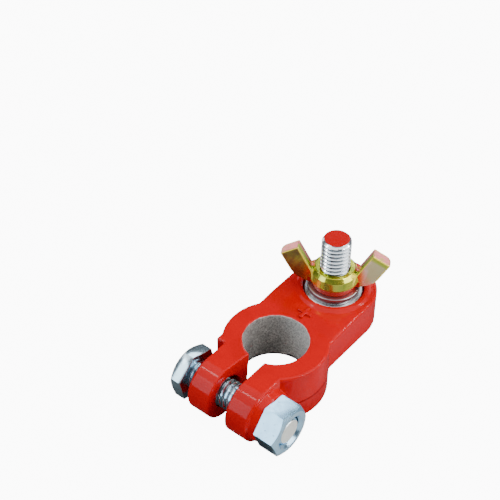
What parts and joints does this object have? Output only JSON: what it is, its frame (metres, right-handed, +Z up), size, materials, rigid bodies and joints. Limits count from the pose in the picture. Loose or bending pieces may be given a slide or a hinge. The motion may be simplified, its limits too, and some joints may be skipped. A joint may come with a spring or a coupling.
{
  "type": "battery terminal clamp",
  "caption": "Split-ring clamp for a tapered battery post, with a cross bolt and nut at its jaws and a threaded stud with washers and a wing nut on its lug.",
  "frame": {"origin": "axis of the post bore at the clamp's underside", "axes": "+Z up along the post bore, +Y from the bore towards the stud, clamp bolt along X with its head at -X"},
  "size_m": [0.0345, 0.061, 0.0338],
  "materials": {
    "clamp_body": "gloss enamel, bare grey metal in the bore",
    "clamp_bolt": "bright zinc",
    "hex_nut": "bright zinc",
    "stud_bolt": "bright zinc, painted end",
    "flat_washer": "bright zinc",
    "spring_washer": "dull zinc",
    "wing_nut": "yellow passivated zinc"
  },
  "bodies": {
    "casting": {"clamp_body": "clamp_body", "stud_bolt": "stud_bolt", "flat_washer": "flat_washer"},
    "clamp_nut": {"hex_nut": "hex_nut"},
    "clamp_screw": {"clamp_bolt": "clamp_bolt"},
    "lock_washer": {"spring_washer": "spring_washer"},
    "wing": {"wing_nut": "wing_nut"}
  },
  "joints": [
    {"name": "clamp_nut_turn", "type": "hinge", "parent": "casting", "child": "clamp_nut", "pos_m": [0.015, -0.01665, 0.008], "axis": [-1, 0, 0], "range_deg": [0, 806]},
    {"name": "clamp_bolt_slide", "type": "slide", "parent": "casting", "child": "clamp_screw", "axis": [1, 0, 0], "range_m": [0, 0.0028]},
    {"name": "wing_nut_rise", "type": "slide", "parent": "casting", "child": "lock_washer", "axis": [0, 0, 1], "range_m": [0, 0.01]},
    {"name": "wing_nut_turn", "type": "hinge", "parent": "lock_washer", "child": "wing", "pos_m": [0, 0.025, 0.02], "axis": [0, 0, 1], "range_deg": [0, 2880]}
  ],
  "couplings": [
    {"joint": "clamp_bolt_slide", "follows": "clamp_nut_turn", "m_per_rad": 0.00019894},
    {"joint": "wing_nut_rise", "follows": "wing_nut_turn", "m_per_rad": 0.00019894}
  ]
}
